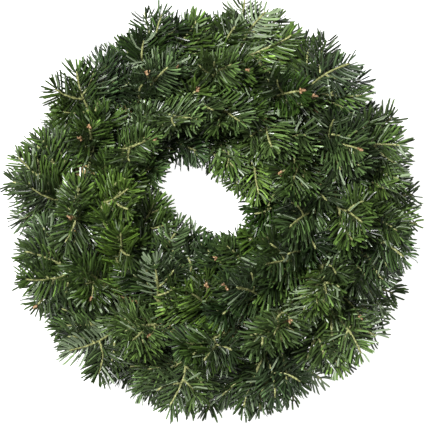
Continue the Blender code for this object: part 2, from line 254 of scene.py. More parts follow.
# Binding wire: florist's wire, 1 mm thick with green lacquer, wound round the ring and over every stem in
# twelve turns, straight under the ring and moving on over the top.
WIRE_RADIUS = 0.5 * MM
WIRE_SIDES = 8
WIRE_STEPS = 5
WIRE_OVER_STRAW = 3 * WIRE_RADIUS
WIRE_OVER_SURFACE = 1.2 * MM
STEM_RADIUS = 1.7 * MM
GAP = 0.3 * MM
STEM_HEIGHT = STRAW_RADIUS + 2 * GAP + STEM_RADIUS
OVER_STEM = 1.2 * MM
WIRE_HEIGHT = STEM_HEIGHT + STEM_RADIUS + OVER_STEM + WIRE_RADIUS
UNDER_START, UNDER_CORNERS, UNDER_END = 216, (252, 288), 324
STEM_PLACES = (0, 36, 72, 108, 146)
INNER_WALL = 180
FIRST_SIDE = np.array((0.3, 0.2, 1.0))


def wire_heading(turn, around):
    """The heading at which a turn of the wire crosses an angle round the straw."""
    over_the_top = (around - UNDER_END) % 360 / (360 - (UNDER_END - UNDER_START))
    return BUNCH_ANGLE * (turn + min(over_the_top, 1))


def across(vectors, along):
    """The part of each vector that lies across a direction, at unit length."""
    left = vectors - along * np.sum(vectors * along, axis=-1, keepdims=True)
    return left / np.linalg.norm(left, axis=-1, keepdims=True)


def section(middle, along, side, radius, sides):
    """The corners of a round section about a point of a line."""
    other = np.cross(along, side)
    turns = math.tau * np.arange(sides)[:, None] / sides
    return middle + radius * (np.cos(turns) * side + np.sin(turns) * other)


def round_line(corners, steps):
    """A line through the corners, rounded off between them."""
    ends = [2 * corners[0] - corners[1], *corners, 2 * corners[-1] - corners[-2]]
    points = []
    for a, b, c, d in zip(ends, ends[1:], ends[2:], ends[3:]):
        for k in range(steps):
            t = k / steps
            points.append(b + 0.5 * t * (c - a + t * (2 * a - 5 * b + 4 * c - d + t * (3 * (b - c) + d - a))))
    return np.array(points + [corners[-1]])


def tube_sections(line, radii, sides):
    """Round sections along a line, turned as little as can be from one to the next."""
    side = FIRST_SIDE
    sections = []
    for k, (point, radius) in enumerate(zip(line, radii)):
        along = line[min(k + 1, len(line) - 1)] - line[max(k - 1, 0)]
        along = along / np.linalg.norm(along)
        side = across(side, along)
        sections.append(section(point, along, side, radius, sides))
    return sections


def surface_noise(nodes, links, scale, detail=2.0):
    """Noise that sits on the wreath's own coordinates."""
    place = nodes.new("ShaderNodeTexCoord")
    noise = nodes.new("ShaderNodeTexNoise")
    noise.inputs["Scale"].default_value = scale
    noise.inputs["Detail"].default_value = detail
    links.new(place.outputs["Object"], noise.inputs["Vector"])
    return noise.outputs["Fac"]


def wire_material():
    """Dark green lacquer, rubbed to bare steel here and there."""
    material, nodes, links, shader = new_material("lacquered wire", 0.35)
    rubbed = surface_noise(nodes, links, 260.0)
    color = ramp(nodes, links, rubbed, [
        (0.55, (0.012, 0.035, 0.014)), (0.68, (0.04, 0.06, 0.04)), (0.74, (0.35, 0.35, 0.33))])
    links.new(color, shader.inputs["Base Color"])
    metal = ramp(nodes, links, rubbed, [(0.66, (0, 0, 0)), (0.72, (1, 1, 1))])
    links.new(metal, shader.inputs["Metallic"])
    return material


grip = STRAW_RADIUS - WAIST + WIRE_OVER_STRAW
under = (STRAW_MIDDLE - WIRE_OVER_SURFACE) / math.cos(math.pi / STRAW_SIDES)
turn_corners = [(UNDER_END, grip)] + [(around, WIRE_HEIGHT) for around in STEM_PLACES]
turn_corners += [(INNER_WALL, STRAW_RADIUS + WIRE_OVER_STRAW), (UNDER_START, grip)]
turn_corners += [(around, under) for around in UNDER_CORNERS]
wire_line = round_line([ring_point(wire_heading(turn, around), around, height)
                        for turn in range(BUNCHES) for around, height in turn_corners], WIRE_STEPS)
wire_line[:, 2] = np.maximum(wire_line[:, 2], WIRE_OVER_SURFACE)
mesh = bmesh.new()
draw_tube(mesh, tube_sections(wire_line, [WIRE_RADIUS] * len(wire_line), WIRE_SIDES))
bmesh.ops.recalc_face_normals(mesh, faces=mesh.faces[:])
make_piece("florist_wire", mesh, [wire_material()], "binding_wire")


# Lie of the sprays: each has its cut stem on the straw under the wire and points clockwise and away from the
# ring. Rows: where the stem lies round the straw in degrees, with 0 outermost and 90 on top, how far the cut
# end reaches behind the wire, how far the first spray leans clockwise and how far its side shoots open, in
# degrees, then one tip for each spray: its heading anticlockwise from +X, its distance from the middle and
# its height.
Row = namedtuple("Row", "around behind lean opening tips")
ROWS = {
    "skirt": Row(0, 28 * MM, 24, 36, (
        (85, 189, 23), (50, 191, 26), (23, 194, 22), (-3, 205, 25), (-33, 203, 22), (-75, 196, 26),
        (-98, 196, 22), (-125, 191, 25), (-155, 190, 22), (170, 194, 26), (145, 184, 22), (113, 186, 25))),
    "shoulder": Row(36, 6 * MM, 32, 34, (
        (95, 187, 68), (66, 189, 66), (38, 184, 68), (10, 184, 64), (-22, 178, 68), (-51, 194, 64),
        (-81, 192, 64), (-112, 188, 66), (-143, 187, 64), (-168, 187, 66), (157, 182, 62), (126, 178, 68))),
    "crown": Row(72, 6 * MM, 28, 32, (
        (104, 142, 88), (76, 138, 91), (50, 132, 94), (17, 148, 88), (-12, 136, 92), (-42, 134, 92),
        (-67, 132, 94), (-98, 140, 91), (-126, 142, 91), (-155, 138, 92), (176, 132, 94), (142, 140, 90))),
    "inner": Row(108, 6 * MM, 40, 32, (
        (100, 88, 94), (70, 86, 95), (41, 82, 93), (11, 79, 94), (-18, 76, 93), (-49, 74, 94),
        (-80, 75, 95), (-110, 78, 93), (-139, 82, 94), (-169, 85, 95), (160, 88, 93), (130, 88, 95))),
    "wall": Row(146, 6 * MM, 45, 25, (
        (73, 44, 66), (36, 38, 60), (-3, 40, 66), (-39, 43, 60), (-74, 34, 66), (-110, 32, 56),
        (-151, 39, 70), (176, 47, 60), (143, 67, 66), (106, 56, 60))),
}
OUTLINE_CENTRE = np.array((-2 * MM, 1 * MM, 0.0))
SWEEP_EASE = 1.3
RISE_EASE = 1.6
PAST_WIRE = 0.09
FORK = 0.52
FORK_SHIFT = 0.05
SIDE_SHARE = 0.95
SIDE_CURVE = 1.5
SIDE_HANDLE = 0.45
SIDE_LIFT = 0.16
MAIN_POINTS = 33
SIDE_POINTS = 17
FORK_PLAY, LENGTH_PLAY, OPENING_PLAY = 0.8, 0.1, 0.2


def vary(spray, what, side=0):
    """A fixed draw from -1 to 1 for one quality of one spray."""
    return random.Random(f"{spray} {what} {side}").uniform(-1, 1)


class Axis:
    """A smooth line in space that is read by the distance along it."""

    def __init__(self, points):
        self.points = np.asarray(points)
        steps = np.linalg.norm(np.diff(self.points, axis=0), axis=1)
        self.reached = np.concatenate(([0.0], np.cumsum(steps)))
        self.length = self.reached[-1]

    def at(self, distance):
        """The points at distances along the line."""
        return np.stack([np.interp(distance, self.reached, self.points[:, k]) for k in range(3)], axis=-1)

    def direction(self, distance):
        """The directions of the line at distances along it."""
        step = self.at(np.minimum(distance + MM, self.length)) - self.at(np.maximum(distance - MM, 0))
        return step / np.linalg.norm(step, axis=-1, keepdims=True)


def main_axis(around, turn, behind, tip):
    """The line of a spray: along the straw till it is past the wire, then clockwise and away to its tip."""
    stem_circle = RING_RADIUS + STEM_HEIGHT * math.cos(math.radians(around))
    held_angle = math.degrees(behind / stem_circle)
    start = wire_heading(turn, around) + held_angle
    heading, tip_around, tip_height = ring_place(tip)
    lean = (start - heading) % 360
    held = 1 - (1 - held_angle / lean) ** (1 / SWEEP_EASE) + PAST_WIRE
    share = np.arange(MAIN_POINTS) / (MAIN_POINTS - 1)
    free = np.maximum(share - held, 0) / (1 - held)
    swept = start - lean * (1 - (1 - share) ** SWEEP_EASE)
    turned = around + (tip_around - around) * free
    return Axis(ring_point(swept, turned, STEM_HEIGHT + (tip_height - STEM_HEIGHT) * free ** RISE_EASE))


def shoot_axis(root, along, aside, opening, length, lift):
    """The line of a shoot that forks off aside and curves back towards the direction of the twig."""
    wide = opening * SIDE_CURVE
    handle = root + (along * math.cos(wide) + aside * math.sin(wide)) * length * SIDE_HANDLE
    tip = root + (along * math.cos(opening) + aside * math.sin(opening) + lift) * length
    t = np.linspace(0, 1, SIDE_POINTS)[:, None]
    return Axis((1 - t) ** 2 * root + 2 * t * (1 - t) * handle + t ** 2 * tip)


def clockwise_side(root, along):
    """The direction across a twig that points clockwise round the ring."""
    flat = root - RING_CENTRE
    return across(np.array((flat[1], -flat[0], 0.0)), along)


def side_axis(spray, main, side, opening):
    """The line of a side shoot, which forks off near the middle of the spray and fans out beside its tip."""
    fork = main.length * (FORK + FORK_SHIFT * (side + FORK_PLAY * vary(spray, "fork", side)))
    root, along = main.at(fork), main.direction(fork)
    beside = clockwise_side(root, along) * side
    length = (main.length - fork) * (SIDE_SHARE + LENGTH_PLAY * vary(spray, "length", side))
    angle = math.radians(opening * (1 + OPENING_PLAY * vary(spray, "opening", side)))
    lift = np.cross(along, beside) * SIDE_LIFT * vary(spray, "lift", side)
    return shoot_axis(root, along, beside, angle, length, lift)


sprays = {}
for name, row in ROWS.items():
    first = round((row.tips[0][0] + row.lean - wire_heading(0, row.around)) / BUNCH_ANGLE)
    for number, (heading, reach, height) in enumerate(row.tips):
        spray = f"{name}_spray_{number + 1:02d}"
        course = math.radians(heading)
        tip = OUTLINE_CENTRE + np.array((reach * math.cos(course), reach * math.sin(course), height)) * MM
        turn = first - round(number * BUNCHES / len(row.tips))
        main = main_axis(row.around, turn, row.behind, tip)
        sprays[spray] = [main] + [side_axis(spray, main, side, row.opening) for side in (-1, 1)]


# Small shoots: each spray carries more shoots than its solid, low on the twig and on both side shoots, and
# those at the rim and the shoulder also nearer the tip. Each grows into the widest gap that it can reach,
# beside or below its parent, and away from the straw, the surface and the hole.
HOLE_CENTRE = np.array((-9 * MM, 12 * MM, 0.0))
HOLE_HEADING = math.radians(-40)
HOLE_REACH, HOLE_HALF_WIDTH = 40 * MM, 20.5 * MM
FOLIAGE_TOP = 102 * MM
FOLIAGE_BOTTOM = 8 * MM
OUTLINE_REACH = 186 * MM
RIM_REACH = (197 * MM, 212 * MM)
SHOOT_TRIES = 14
SHOOT_ROLL = (-15, 75)
THIN_SPRAYS = ("crown_spray_12", "crown_spray_11", "shoulder_spray_12", "shoulder_spray_11",
               "skirt_spray_10", "skirt_spray_11", "skirt_spray_12", "skirt_spray_01")
PLAN_WEIGHT = (1.0, 1.0, 0.6)
LOOK_STEP = 6 * MM
SHOOT_OPENING = (26, 52)
SHOOT_LENGTH_PLAY = (0.8, 1.2)
END_SHARES = np.array((0.6, 0.8, 1.0))
HOLE_ROOM = 1.5
OVER_STRAW = 6 * MM
# what is left of the room that a line ends in where it reaches into the hole, past the outline, above or
# below the foliage, or onto the straw
IN_HOLE, PAST_OUTLINE, PAST_FOLIAGE, ON_STRAW = 0.1, 0.05, 0.1, 0.2
# small shoots: the twig that each forks off, with 0 the main one, how far along, on which side, and its
# length as a share of that twig
Fork = namedtuple("Fork", "twig share side long")
ON_ALL = (Fork(0, 0.34, -1, 0.40), Fork(0, 0.30, 1, 0.40), Fork(1, 0.42, -1, 0.55), Fork(2, 0.42, 1, 0.55),
          Fork(1, 0.5, 1, 0.45), Fork(2, 0.5, -1, 0.45))
ON_WALL = (Fork(0, 0.22, -1, 0.4), Fork(0, 0.2, 1, 0.4))
OFF_WALL = (Fork(1, 0.15, -1, 0.55), Fork(2, 0.15, 1, 0.55))
ON_RIM = (Fork(0, 0.46, -1, 0.34), Fork(0, 0.45, 1, 0.34))
ON_SHOULDER = (Fork(0, 0.70, -1, 0.3), Fork(0, 0.68, 1, 0.3))
ON_THIN = (Fork(0, 0.22, -1, 0.45), Fork(0, 0.2, 1, 0.45))


def hole_share(points):
    """How far each point is from the middle of the hole, as a share of the way to its oval edge."""
    flat = points - HOLE_CENTRE
    lengthwise = flat[..., 0] * math.cos(HOLE_HEADING) + flat[..., 1] * math.sin(HOLE_HEADING)
    crosswise = flat[..., 1] * math.cos(HOLE_HEADING) - flat[..., 0] * math.sin(HOLE_HEADING)
    return np.hypot(lengthwise / HOLE_REACH, crosswise / HOLE_HALF_WIDTH)


def small_shoot(key, parent, fork, taken):
    """The best of several lines for a small shoot: the one that ends furthest from all other twigs."""
    draw = random.Random(key)
    distance, length = parent.length * fork.share, parent.length * fork.long
    root, along = parent.at(distance), parent.direction(distance)
    beside = clockwise_side(root, along) * fork.side
    best, widest = None, -1.0
    below = -across(np.array((0.0, 0.0, 1.0)), along)
    for _ in range(SHOOT_TRIES):
        roll = math.radians(draw.uniform(*SHOOT_ROLL))
        aside = beside * math.cos(roll) + below * math.sin(roll)
        opening = math.radians(draw.uniform(*SHOOT_OPENING))
        axis = shoot_axis(root, along, aside, opening, length * draw.uniform(*SHOOT_LENGTH_PLAY), 0)
        ends = axis.at(axis.length * END_SHARES)
        room = np.linalg.norm((ends[:, None] - taken[None]) * PLAN_WEIGHT, axis=-1).min()
        tip = axis.points[-1]
        if hole_share(tip) < HOLE_ROOM:
            room *= IN_HOLE
        if np.hypot(*(tip - OUTLINE_CENTRE)[:2]) > OUTLINE_REACH:
            room *= PAST_OUTLINE
        if not FOLIAGE_BOTTOM < tip[2] < FOLIAGE_TOP:
            room *= PAST_FOLIAGE
        if ring_place(ends)[2].min() < STRAW_RADIUS + OVER_STRAW:
            room *= ON_STRAW
        if room > widest:
            best, widest = axis, room
    return best


def look_points(axis):
    """Points along a twig that others keep away from."""
    return axis.at(np.arange(0, axis.length, LOOK_STEP))


taken = np.concatenate([look_points(axis) for axes in sprays.values() for axis in axes])
for spray, axes in sprays.items():
    wanted = ON_ALL + (ON_WALL if spray.startswith("wall") else OFF_WALL)
    if spray.startswith(("skirt", "shoulder")):
        wanted += ON_RIM
    if spray.startswith("shoulder"):
        wanted += ON_SHOULDER
    if spray in THIN_SPRAYS:
        wanted += ON_THIN
    for number, fork in enumerate(wanted):
        shoot = small_shoot(f"{spray} small {number}", axes[fork.twig], fork, taken)
        axes.append(shoot)
        taken = np.concatenate((taken, look_points(shoot)))


# Needles: flat and blunt, 23 mm long and 2.1 mm wide, glossy green on top with a painted highlight streak
# down the middle, painted shade at the edges and towards the root, and with two silvery bands under it. They
# stand in rows on both sides of a shoot, some over its top, and fan out at its tip.
NEEDLE_LENGTH = 23.5 * MM
NEEDLE_WIDTH = 2.1 * MM
NEEDLE_THICKNESS = 0.5 * MM
NEEDLE_LIFT = 0.6 * MM
# rows on each side: spacing, how high over the flat of the shoot, lean from the shoot and spread of both in
# degrees, and share of the full length
Rank = namedtuple("Rank", "spacing height lean spread length")
RANKS = (Rank(3.4 * MM, -6, 60, 4, 1.0), Rank(4.4 * MM, 18, 52, 5, 0.95), Rank(15.0 * MM, 55, 34, 10, 0.75))
OPEN_SPACING = 1.25
PLACE_PLAY, LEAN_PLAY, LENGTH_RANGE = 0.1, 0.6, (0.88, 1.06)
TIPWARD_LEAN, TIPWARD_LEAN_CURVE = 0.6, 4
TIPWARD_SHORT, TIPWARD_SHORT_CURVE = 0.3, 8
TIP_NEEDLES = 7
TIP_FAN, TIP_LEAST_LEAN = 34, 4
TIP_SETBACK, TIP_HEIGHT, TIP_LENGTH = (0.5, 3), (-10, 45), (0.75, 0.95)
LEAST_SETBACK = 0.5 * MM
UP_OFF_RING, UP_OFF_SURFACE = 0.5, 0.9
TURNED_SHARE = 0.05
ROLL_PLAY, ARCH_RANGE, RISE_RANGE, WIDTH_RANGE = 0.4, (0.4, 1.3), (-0.04, 0.05), (0.8, 1.1)
BEND_SHARES = (1.0, 0.55)
CLEAR_OF_STRAW = 1.5 * MM
LOWEST_NEEDLE = 1.8 * MM
HOLE_EDGE = (0.92, 1.16)
HOLE_LOOKS = 10
LEAST_LEFT = 0.5
NEEDLE_ROUGHNESS, DULLER_BELOW = 0.34, 0.3
# stations: share of the length, share of the width and share of the thickness
NEEDLE_STATIONS = ((0.0, 0.42, 1.0), (0.3, 1.0, 1.0), (0.9, 0.92, 0.8), (1.0, 0.42, 0.4))


def needle_pattern():
    """One needle of unit length, width and thickness along +X, upper side to +Z, with its map."""
    mesh = bmesh.new()
    sections = []
    for place, width, thick in NEEDLE_STATIONS:
        sections.append([(place, -0.5 * width, -0.5 * thick), (place, 0.0, 0.5 * thick),
                         (place, 0.5 * width, -0.5 * thick)])
    draw_tube(mesh, sections)
    bmesh.ops.recalc_face_normals(mesh, faces=mesh.faces[:])
    pattern = mesh.loops.layers.uv.new("needle")
    for face in mesh.faces:
        face.smooth = False
        under = face.normal.z < 0
        for loop in face.loops:
            share = loop.vert.co.y + 0.5
            loop[pattern].uv = (0.5 + 0.5 * share if under else 0.5 * share, loop.vert.co.x)
    return as_data(mesh, "needle pattern")


def needle_block(pattern, count):
    """Copies of the needle, one after another in one mesh."""
    mesh = bmesh.new()
    mesh.from_mesh(pattern)
    verts, edges, faces = len(mesh.verts), len(mesh.edges), len(mesh.faces)
    made = 1
    while made < count:
        more = min(made, count - made)
        needles = mesh.verts[:verts * more] + mesh.edges[:edges * more] + mesh.faces[:faces * more]
        bmesh.ops.duplicate(mesh, geom=needles)
        made += more
    return as_data(mesh)


def lay_needles(axis, bare, roll, flipped, spacing, draw):
    """The root, tip and upper side of each needle of a shoot."""
    rows = []
    for side in (-1, 1):
        for rank in RANKS:
            step = rank.spacing * spacing
            count = int((axis.length - bare) / step)
            place = bare + (np.arange(count) + draw.uniform(0, 1) + draw.normal(0, PLACE_PLAY, count)) * step
            height = rank.height + draw.normal(0, rank.spread, count)
            lean = rank.lean + draw.normal(0, LEAN_PLAY * rank.spread, count)
            long = rank.length * draw.uniform(*LENGTH_RANGE, count)
            rows.append(np.stack((place, np.full(count, side), height, lean, long), axis=1))
    end = axis.length - draw.uniform(*TIP_SETBACK, TIP_NEEDLES) * MM
    fan = TIP_FAN * (np.arange(TIP_NEEDLES) / (TIP_NEEDLES - 1) * 2 - 1)
    height = draw.uniform(*TIP_HEIGHT, TIP_NEEDLES)
    lean = np.abs(fan) / (1 - TIPWARD_LEAN) + TIP_LEAST_LEAN
    long = draw.uniform(*TIP_LENGTH, TIP_NEEDLES)
    rows.append(np.stack((end, np.where(fan < 0, -1, 1), height, lean, long), axis=1))
    place, side, height, lean, long = np.concatenate(rows).T
    place = np.minimum(place, axis.length - LEAST_SETBACK)
    tipward = place / axis.length
    middle, along = axis.at(place), axis.direction(place)
    heading, _, _ = ring_place(middle)
    outward = middle - ring_point(heading, 0.0, 0.0)
    outward = outward / np.linalg.norm(outward, axis=-1, keepdims=True)
    up = across(outward * UP_OFF_RING + np.array((0.0, 0.0, UP_OFF_SURFACE)), along)
    flat = np.cross(along, up)
    up, flat = up * math.cos(roll) + flat * math.sin(roll), flat * math.cos(roll) - up * math.sin(roll)
    if flipped:
        up = -up
    height, lean = np.radians(height), np.radians(lean * (1 - TIPWARD_LEAN * tipward ** TIPWARD_LEAN_CURVE))
    out = up * np.sin(height)[:, None] + flat * (side * np.cos(height))[:, None]
    course = along * np.cos(lean)[:, None] + out * np.sin(lean)[:, None]
    root = middle + out * NEEDLE_LIFT
    long = NEEDLE_LENGTH * long * (1 - TIPWARD_SHORT * tipward ** TIPWARD_SHORT_CURVE)
    return root, root + course * long[:, None], along, up


def bend_clear(root, tip, draw):
    """Bend needles clear of the straw and the surface, shorten those that reach past the rim or into the
    hole, and say which are still long enough to keep."""
    beyond = np.linalg.norm((tip - OUTLINE_CENTRE)[:, :2], axis=1) - draw.uniform(*RIM_REACH, len(tip))
    rim_share = 1 - np.maximum(beyond, 0) / np.linalg.norm(tip - root, axis=1)
    tip = root + (tip - root) * rim_share[:, None]
    for share in BEND_SHARES:
        point = root + (tip - root) * share
        heading, around, height = ring_place(point)
        outward = point - ring_point(heading, 0.0, 0.0)
        outward = outward / np.linalg.norm(outward, axis=-1, keepdims=True)
        sunk = np.maximum(straw_surface(heading, around) + CLEAR_OF_STRAW - height, 0)
        tip = tip + outward * (sunk / share)[:, None]
    tip[:, 2] = np.maximum(tip[:, 2], LOWEST_NEEDLE)
    edge = draw.uniform(*HOLE_EDGE, len(tip))
    shares = np.linspace(1 / HOLE_LOOKS, 1.0, HOLE_LOOKS)
    points = root[:, None] + (tip - root)[:, None] * shares[None, :, None]
    inside = hole_share(points) < edge[:, None]
    open_share = np.where(inside.any(axis=1), shares[np.argmax(inside, axis=1)] - 1 / HOLE_LOOKS, 1.0)
    tip = root + (tip - root) * open_share[:, None]
    return tip, np.minimum(open_share, rim_share) > LEAST_LEFT


def place_needles(shape, root, tip, along, up, bend, draw):
    """The corners of each needle, arched a little between its root and its tip."""
    count = len(root)
    line = tip - root
    long = np.linalg.norm(line, axis=-1, keepdims=True)
    course = line / long
    roll = (draw.normal(0, ROLL_PLAY, count) + math.pi * (draw.random(count) < TURNED_SHARE))[:, None]
    face = across(up, course)
    width = np.cross(face, course)
    face, width = face * np.cos(roll) + width * np.sin(roll), width * np.cos(roll) - face * np.sin(roll)
    back = -across(along, course)
    arch = (bend * draw.uniform(*ARCH_RANGE, count))[:, None, None]
    rise = draw.uniform(*RISE_RANGE, count)[:, None, None]
    wide = (NEEDLE_WIDTH * draw.uniform(*WIDTH_RANGE, count))[:, None, None]
    s = shape[None, :, 0:1]
    bow = 4 * s * (1 - s) * long[:, None]
    points = root[:, None] + course[:, None] * s * long[:, None]
    points = points + width[:, None] * shape[None, :, 1:2] * wide
    upward = shape[None, :, 2:3] * NEEDLE_THICKNESS + rise * bow
    return points + face[:, None] * upward + back[:, None] * arch * bow


def multiply(nodes, links, first, second):
    """Two colours multiplied."""
    mix = nodes.new("ShaderNodeMix")
    mix.data_type = "RGBA"
    mix.blend_type = "MULTIPLY"
    mix.inputs["Factor"].default_value = 1.0
    links.new(first, mix.inputs["A"])
    links.new(second, mix.inputs["B"])
    return mix.outputs["Result"]


def needle_material():
    """Fir needles: glossy dark green on top with a painted highlight streak down the middle, painted shade at
    the edges and towards the root, silvery bands below, each tinted alone.
    """
    material, nodes, links, shader = new_material("fir needles", NEEDLE_ROUGHNESS)
    place = nodes.new("ShaderNodeUVMap")
    split = nodes.new("ShaderNodeSeparateXYZ")
    links.new(place.outputs["UV"], split.inputs["Vector"])
    tint = nodes.new("ShaderNodeAttribute")
    tint.attribute_name = "tint"
    # Painted highlight: the middle of each needle's upper side is lightened into a streak, and painted shade
    # darkens its edges.
    painted_streak_and_edge_shade = ramp(nodes, links, split.outputs["X"], [
        (0.0, (0.45, 0.45, 0.45)), (0.1, (0.75, 0.75, 0.75)), (0.2, (1.0, 1.0, 1.0)),
        (0.25, (1.0, 1.0, 0.95)), (0.3, (1.0, 1.0, 1.0)), (0.4, (0.75, 0.75, 0.75)),
        (0.5, (0.45, 0.45, 0.45))])
    green = multiply(nodes, links, tint.outputs["Color"], painted_streak_and_edge_shade)
    bands = ramp(nodes, links, split.outputs["X"], [
        (0.5, (0.0, 0.0, 0.0)), (0.56, (0.1, 0.1, 0.1)), (0.6, (1.0, 1.0, 1.0)), (0.69, (1.0, 1.0, 1.0)),
        (0.73, (0.1, 0.1, 0.1)), (0.77, (0.1, 0.1, 0.1)), (0.81, (1.0, 1.0, 1.0)), (0.9, (1.0, 1.0, 1.0)),
        (0.95, (0.1, 0.1, 0.1))])
    # Painted shade: each needle is darkened towards its root and lightened towards its tip.
    lengthwise = ramp(nodes, links, split.outputs["Y"], [
        (0.0, (0.5, 0.5, 0.5)), (0.35, (0.85, 0.85, 0.85)), (1.0, (1.2, 1.2, 1.2))])
    shaded = multiply(nodes, links, green, lengthwise)
    silver = nodes.new("ShaderNodeMix")
    silver.data_type = "RGBA"
    silver.inputs["B"].default_value = (0.22, 0.28, 0.17, 1.0)
    links.new(bands, silver.inputs["Factor"])
    links.new(tint.outputs["Color"], silver.inputs["A"])
    is_under = nodes.new("ShaderNodeMath")
    is_under.operation = "GREATER_THAN"
    is_under.inputs[1].default_value = 0.5
    links.new(split.outputs["X"], is_under.inputs[0])
    color = nodes.new("ShaderNodeMix")
    color.data_type = "RGBA"
    links.new(is_under.outputs["Value"], color.inputs["Factor"])
    links.new(shaded, color.inputs["A"])
    links.new(silver.outputs["Result"], color.inputs["B"])
    links.new(color.outputs["Result"], shader.inputs["Base Color"])
    dull = nodes.new("ShaderNodeMath")
    dull.operation = "MULTIPLY_ADD"
    dull.inputs[1].default_value = DULLER_BELOW
    dull.inputs[2].default_value = NEEDLE_ROUGHNESS
    links.new(is_under.outputs["Value"], dull.inputs[0])
    links.new(dull.outputs["Value"], shader.inputs["Roughness"])
    return material


# Twigs and buds: young fir wood, green to straw-coloured, rough with the scars of fallen needles. Most shoots
# end in one small bud, and some carry a full cluster of resinous straw-brown ones.
TWIG_SIDES = 7
TWIG_STEP = 2.7 * MM
SHOOT_RADIUS = 1.25 * MM
TIP_RADIUS = 1.0 * MM
TWIG_SHORT = 2 * MM
SCAR_SWELL = 0.25
SMALL_BUD_LENGTH = 3.6 * MM
SMALL_BUD_RADIUS = 0.95 * MM
BUD_LENGTH = 6 * MM
BUD_RADIUS = 1.9 * MM
BUD_SEGMENTS, BUD_RINGS = 6, 4
CLUSTER_BUDS = 3
END_BUD_OUT = 0.3
BUD_TURN_PLAY = 0.3
BUD_SIZE = (0.65, 0.9)
BUD_SPREAD = (0.6, 1.1)
BUD_BACK, BUD_OUT = 0.5, 0.4
TWIG_SLOT, BUD_SLOT = 1, 2


def draw_twig(mesh, axis, root_radius, key):
    """A twig that tapers to its tip, uneven with scars."""
    draw = random.Random(key + " twig")
    stations = max(int(axis.length / TWIG_STEP), 3)
    distances = (axis.length - TWIG_SHORT) * np.arange(stations + 1) / stations
    radii = [(root_radius + (TIP_RADIUS - root_radius) * distance / axis.length)
             * (1 + SCAR_SWELL * draw.uniform(-1, 1)) for distance in distances]
    draw_tube(mesh, tube_sections(axis.at(distances), radii, TWIG_SIDES), TWIG_SLOT)


def draw_bud(mesh, middle, course, radius, long, material=BUD_SLOT):
    """One egg-shaped bud."""
    turn = course.to_track_quat("Z", "Y").to_matrix().to_4x4()
    place = Matrix.Translation(middle) @ turn @ Matrix.Diagonal((radius, radius, long / 2, 1))
    made = bmesh.ops.create_uvsphere(mesh, u_segments=BUD_SEGMENTS, v_segments=BUD_RINGS, radius=1,
                                     matrix=place)
    for face in {face for vert in made["verts"] for face in vert.link_faces}:
        face.material_index = material
        face.smooth = True


def draw_buds(mesh, axis, is_cluster, key):
    """The small end bud of a shoot, or a full cluster of buds."""
    draw = random.Random(key + " buds")
    along = Vector(axis.direction(axis.length))
    tip = Vector(axis.points[-1])
    if not is_cluster:
        draw_bud(mesh, tip - along * TWIG_SHORT, along, SMALL_BUD_RADIUS, SMALL_BUD_LENGTH, TWIG_SLOT)
        return
    draw_bud(mesh, tip + along * BUD_LENGTH * END_BUD_OUT, along, BUD_RADIUS, BUD_LENGTH)
    side = along.orthogonal().normalized()
    for k in range(CLUSTER_BUDS):
        turn = math.tau / CLUSTER_BUDS + draw.uniform(-BUD_TURN_PLAY, BUD_TURN_PLAY)
        side.rotate(Matrix.Rotation(turn, 3, along))
        size = draw.uniform(*BUD_SIZE)
        course = (along + side * draw.uniform(*BUD_SPREAD)).normalized()
        middle = tip - along * draw.uniform(0, BUD_LENGTH) * BUD_BACK + course * BUD_LENGTH * BUD_OUT
        draw_bud(mesh, middle, course, BUD_RADIUS * size, BUD_LENGTH * size)


def scaly_skin():
    """Small cells over twigs and buds: the value across each cell, and the relief that it gives."""
    group = bpy.data.node_groups.new("scaly skin", "ShaderNodeTree")
    group.interface.new_socket("Scale", in_out="INPUT", socket_type="NodeSocketFloat")
    group.interface.new_socket("Strength", in_out="INPUT", socket_type="NodeSocketFloat")
    group.interface.new_socket("Cell", in_out="OUTPUT", socket_type="NodeSocketFloat")
    group.interface.new_socket("Normal", in_out="OUTPUT", socket_type="NodeSocketVector")
    nodes, links = group.nodes, group.links
    given = nodes.new("NodeGroupInput")
    result = nodes.new("NodeGroupOutput")
    place = nodes.new("ShaderNodeTexCoord")
    cells = nodes.new("ShaderNodeTexVoronoi")
    links.new(place.outputs["Object"], cells.inputs["Vector"])
    links.new(given.outputs["Scale"], cells.inputs["Scale"])
    bump = nodes.new("ShaderNodeBump")
    bump.inputs["Distance"].default_value = 0.3 * MM
    links.new(given.outputs["Strength"], bump.inputs["Strength"])
    links.new(cells.outputs["Distance"], bump.inputs["Height"])
    links.new(cells.outputs["Distance"], result.inputs["Cell"])
    links.new(bump.outputs["Normal"], result.inputs["Normal"])
    return group


def add_skin(nodes, links, shader, skin, scale, strength):
    """Lay the scaly skin over a material, and return the value across each cell."""
    node = nodes.new("ShaderNodeGroup")
    node.node_tree = skin
    node.inputs["Scale"].default_value = scale
    node.inputs["Strength"].default_value = strength
    links.new(node.outputs["Normal"], shader.inputs["Normal"])
    return node.outputs["Cell"]


def twig_material(skin):
    """Young fir wood, with needle scars."""
    material, nodes, links, shader = new_material("fir twig", 0.6, 0.35)
    color = ramp(nodes, links, surface_noise(nodes, links, 420.0, 3.0), [
        (0.3, (0.075, 0.08, 0.028)), (0.5, (0.21, 0.225, 0.08)), (0.7, (0.42, 0.44, 0.20))])
    links.new(color, shader.inputs["Base Color"])
    add_skin(nodes, links, shader, skin, 700.0, 0.6)
    return material


def bud_material(skin):
    """Resinous buds: brown scales, straw-coloured in the middle."""
    material, nodes, links, shader = new_material("fir bud", 0.42)
    cell = add_skin(nodes, links, shader, skin, 900.0, 0.7)
    color = ramp(nodes, links, cell, [
        (0.1, (0.42, 0.30, 0.16)), (0.5, (0.29, 0.165, 0.075)), (0.8, (0.15, 0.08, 0.045))])
    links.new(color, shader.inputs["Base Color"])
    return material


